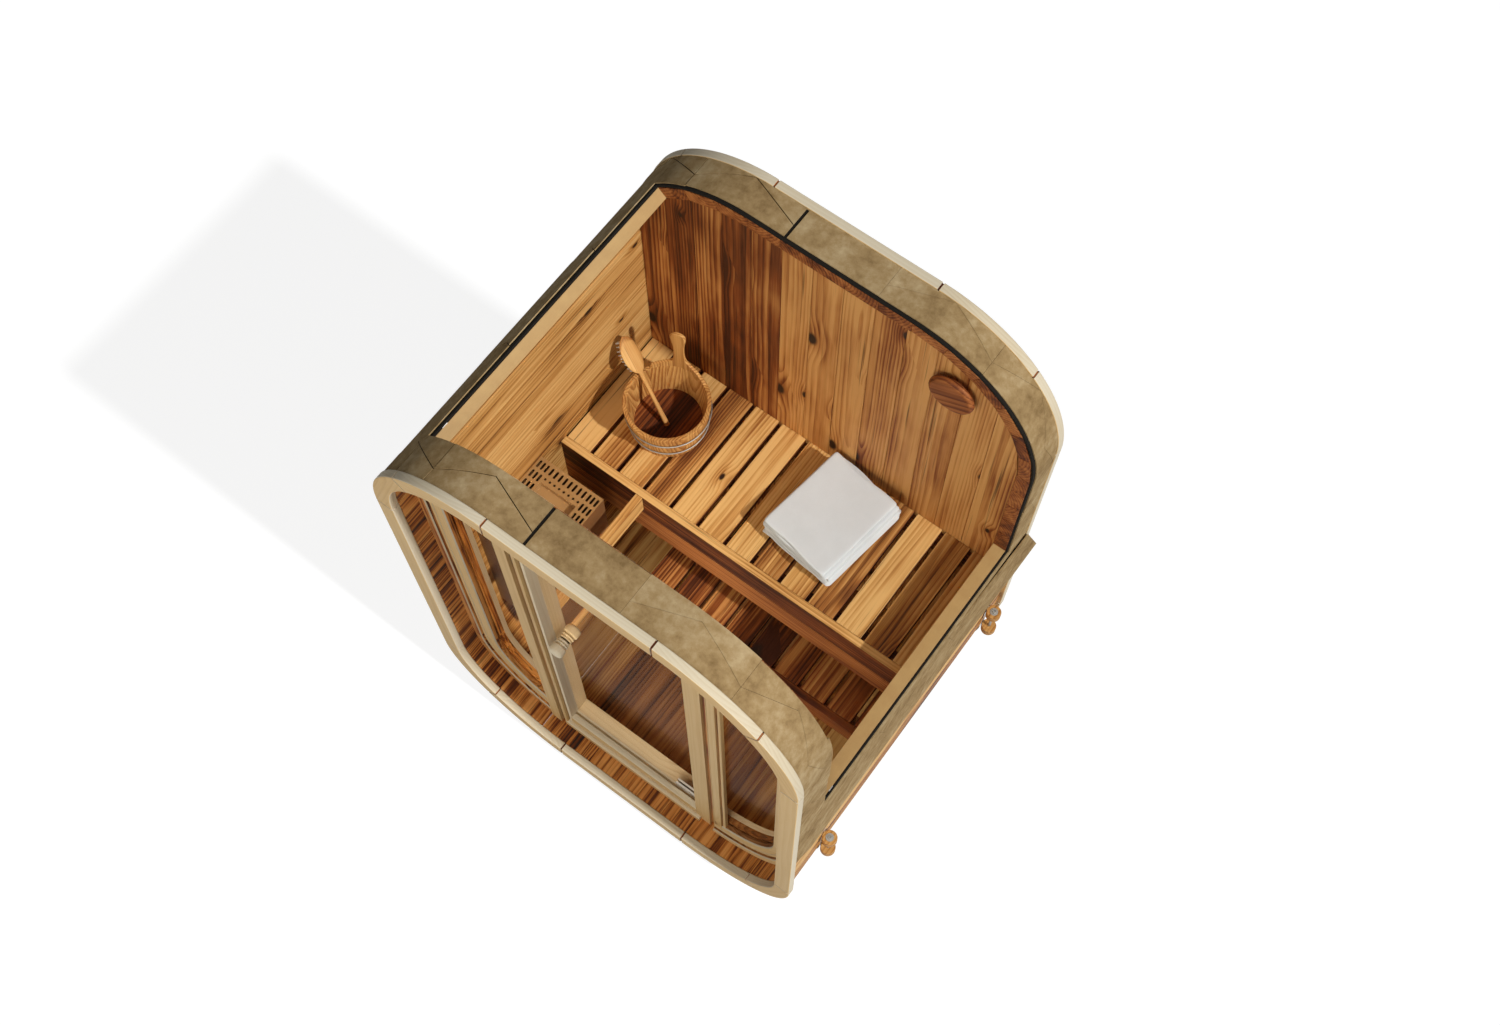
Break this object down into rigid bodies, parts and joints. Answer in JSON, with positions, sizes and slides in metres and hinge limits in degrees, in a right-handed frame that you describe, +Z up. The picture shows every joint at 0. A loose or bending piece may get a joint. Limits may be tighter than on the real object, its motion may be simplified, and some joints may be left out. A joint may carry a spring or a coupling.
{
  "type": "rounded-square barrel sauna",
  "caption": "Rounded-square barrel sauna of thermowood staves with an opened shingle roof, a glass front with a hinged door, benches, a stove, a bucket and a towel.",
  "frame": {"origin": "ground level under the middle of the barrel", "axes": "+Z up, -Y out of the glass front, +X to the right seen from the front"},
  "size_m": [1.578, 1.312, 2.256],
  "materials": {
    "spruce": "planed pale spruce, unvarnished",
    "thermowood": "planed heat-treated pine with dark knots",
    "thermowood_dark": "planed heat-treated pine, darker boards",
    "felt": "black bitumen felt",
    "shingle": "olive-khaki mineral-surfaced bitumen shingle",
    "bronze_glass": "clear bronze-tinted toughened glass",
    "steel": "satin",
    "stove_sheet": "satin tan and brown enamel",
    "bucket_wood": "oiled wood",
    "towel_cotton": "white terry cotton",
    "base_wood": "impregnated timber"
  },
  "bodies": {
    "barrel": {"front_rim": "spruce", "rear_rim": "spruce", "floor_staves": "thermowood", "lower_left_corner_staves": "thermowood", "lower_right_corner_staves": "thermowood", "left_wall_staves": "thermowood", "right_wall_staves": "thermowood", "upper_left_corner_staves": "thermowood", "front_roof_staves": "thermowood", "front_right_staves": "thermowood", "rear_roof_staves": "thermowood", "rear_right_staves": "thermowood", "roof_felt": "felt", "roof_shingles": "shingle", "left_window_frame": "spruce", "right_window_frame": "spruce", "door_sill": "spruce", "door_head": "spruce", "left_door_post": "spruce", "right_door_post": "spruce", "left_window_glass": "bronze_glass", "right_window_glass": "bronze_glass", "back_wall": "thermowood_dark", "vent_cover": "thermowood_dark", "upper_bench_slats": "thermowood", "upper_bench_fascia": "thermowood", "upper_bench_bearers": "thermowood", "lower_bench_slats": "thermowood", "lower_bench_rail": "thermowood", "lower_bench_supports": "thermowood", "guard_rail": "thermowood", "stove_casing": "stove_sheet", "stove_top": "stove_sheet", "front_band": "steel", "rear_band": "steel", "tensioners": "thermowood", "bucket": "bucket_wood", "bucket_hoops": "steel", "brush": "bucket_wood", "towel": "towel_cotton", "base_bearers": "base_wood"},
    "door": {"door_glass": "bronze_glass", "door_pivots": "steel", "door_knob": "spruce"}
  },
  "joints": [
    {"name": "door_hinge", "type": "hinge", "parent": "barrel", "child": "door", "pos_m": [0.245, -0.513, 1.045], "axis": [0, 0, 1], "range_deg": [0, 100]}
  ]
}
